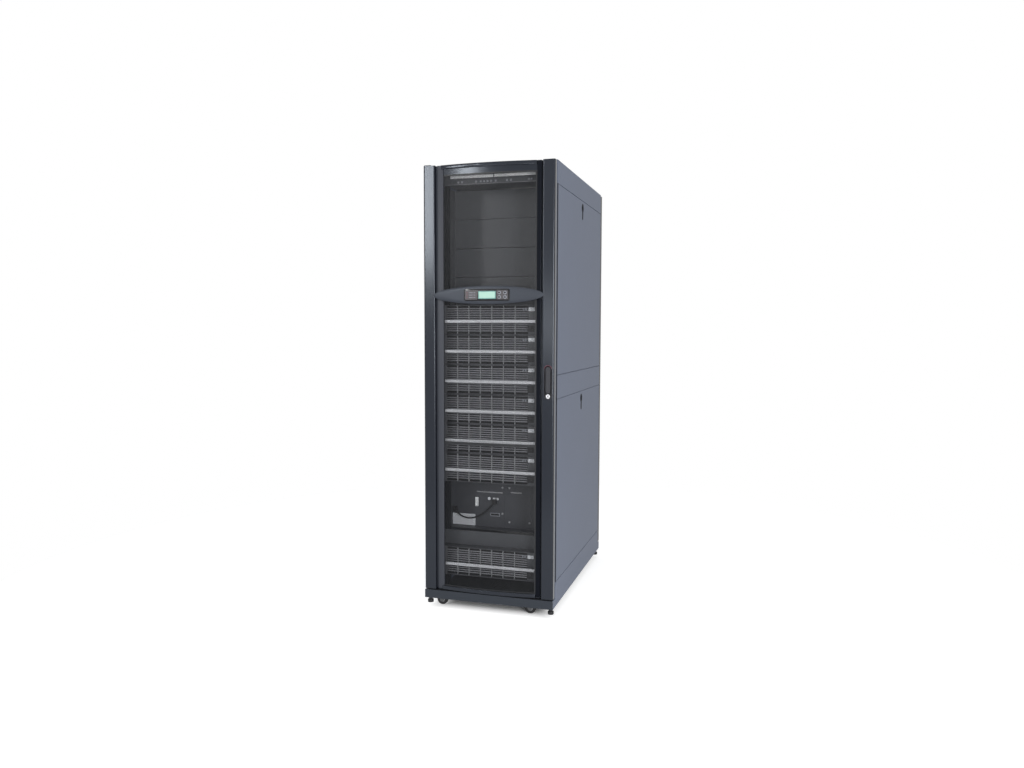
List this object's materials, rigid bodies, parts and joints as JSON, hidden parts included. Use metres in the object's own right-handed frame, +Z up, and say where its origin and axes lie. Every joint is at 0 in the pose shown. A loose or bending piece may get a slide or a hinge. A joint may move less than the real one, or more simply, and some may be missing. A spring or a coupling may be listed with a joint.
{
  "type": "modular ups cabinet",
  "caption": "Tall steel power cabinet on casters with a bowed perforated door, an oval display console and rows of plug-in modules behind it.",
  "frame": {"origin": "on the floor under the middle of the whole cabinet, at the bottom of the wheels", "axes": "+Z up, -Y out of the front door, +X to the right of someone facing the door"},
  "size_m": [0.6, 1.084, 1.991],
  "materials": {
    "side_paint": "powder coat, satin",
    "frame_paint": "powder coat, satin",
    "plinth_paint": "powder coat, satin",
    "latch_black": "moulded, matte",
    "rear_sheet": "perforated sheet, powder coat",
    "module_black": "moulded, fine grain",
    "bar_silver": "anodised, satin",
    "filler_black": "powder coat, satin",
    "bypass_black": "powder coat, satin",
    "cable_black": "black sheath and moulded plugs",
    "door_black": "satin, dark grey",
    "door_rim": "satin, grey",
    "door_sheet": "perforated sheet, powder coat",
    "console_grey": "moulded, satin",
    "display_black": "gloss window and keys",
    "handle_black": "moulded, satin",
    "lock_chrome": "polished",
    "caster_zinc": "zinc plated",
    "caster_wheel": "black tread, pale hub",
    "foot_black": "black pad on a steel stem"
  },
  "bodies": {
    "cabinet": {"left_upper_panel": "side_paint", "left_lower_panel": "side_paint", "right_upper_panel": "side_paint", "right_lower_panel": "side_paint", "middle_side_rails": "side_paint", "top_side_rails": "side_paint", "base_side_rails": "side_paint", "roof_panel": "side_paint", "corner_posts": "frame_paint", "top_cross_rails": "frame_paint", "base_floor": "frame_paint", "equipment_rails": "frame_paint", "rear_door_frames": "frame_paint", "door_pivots": "frame_paint", "plinth_panels": "plinth_paint", "side_panel_latches": "latch_black", "rear_door_handle": "latch_black", "rear_door_meshes": "rear_sheet", "power_module_1": "module_black", "power_module_2": "module_black", "power_module_3": "module_black", "power_module_4": "module_black", "power_module_5": "module_black", "power_module_6": "module_black", "power_module_7": "module_black", "module_bar_posts": "module_black", "module_bars": "bar_silver", "top_unit_bars": "bar_silver", "upper_fillers": "filler_black", "lower_filler": "filler_black", "top_unit": "filler_black", "bypass_unit": "bypass_black", "bypass_plate": "bypass_black", "bypass_cable": "cable_black", "cable_plugs": "cable_black", "caster_plates": "caster_zinc", "rear_caster_forks": "caster_zinc", "rear_caster_wheels": "caster_wheel", "levelling_feet": "foot_black"},
    "front_door": {"door_left_stile": "door_black", "door_right_stile": "door_black", "door_top_band": "door_black", "door_top_rim": "door_rim", "door_bottom_rim": "door_rim", "door_mesh": "door_sheet", "console_housing": "console_grey", "display_panel": "display_black", "handle_dish": "handle_black", "door_lock": "lock_chrome"},
    "door_lever": {"door_handle": "handle_black"},
    "left_caster": {"front_left_caster_fork": "caster_zinc"},
    "left_wheel": {"front_left_caster_wheel": "caster_wheel"},
    "right_caster": {"front_right_caster_fork": "caster_zinc"},
    "right_wheel": {"front_right_caster_wheel": "caster_wheel"}
  },
  "joints": [
    {"name": "front_door_hinge", "type": "hinge", "parent": "cabinet", "child": "front_door", "pos_m": [-0.29, -0.506, 0.9955], "axis": [0, 0, -1], "range_deg": [0, 120]},
    {"name": "door_handle_lift", "type": "hinge", "parent": "front_door", "child": "door_lever", "pos_m": [0.273, -0.521, 1.098], "axis": [-1, 0, 0], "range_deg": [0, 40]},
    {"name": "left_caster_swivel", "type": "hinge", "parent": "cabinet", "child": "left_caster", "pos_m": [-0.21, -0.462, 0.076], "axis": [0, 0, 1], "continuous": true},
    {"name": "left_wheel_roll", "type": "hinge", "parent": "left_caster", "child": "left_wheel", "pos_m": [-0.238, -0.462, 0.025], "axis": [0, 1, 0], "continuous": true},
    {"name": "right_caster_swivel", "type": "hinge", "parent": "cabinet", "child": "right_caster", "pos_m": [0.21, -0.462, 0.076], "axis": [0, 0, 1], "continuous": true},
    {"name": "right_wheel_roll", "type": "hinge", "parent": "right_caster", "child": "right_wheel", "pos_m": [0.182, -0.462, 0.025], "axis": [0, 1, 0], "continuous": true}
  ]
}
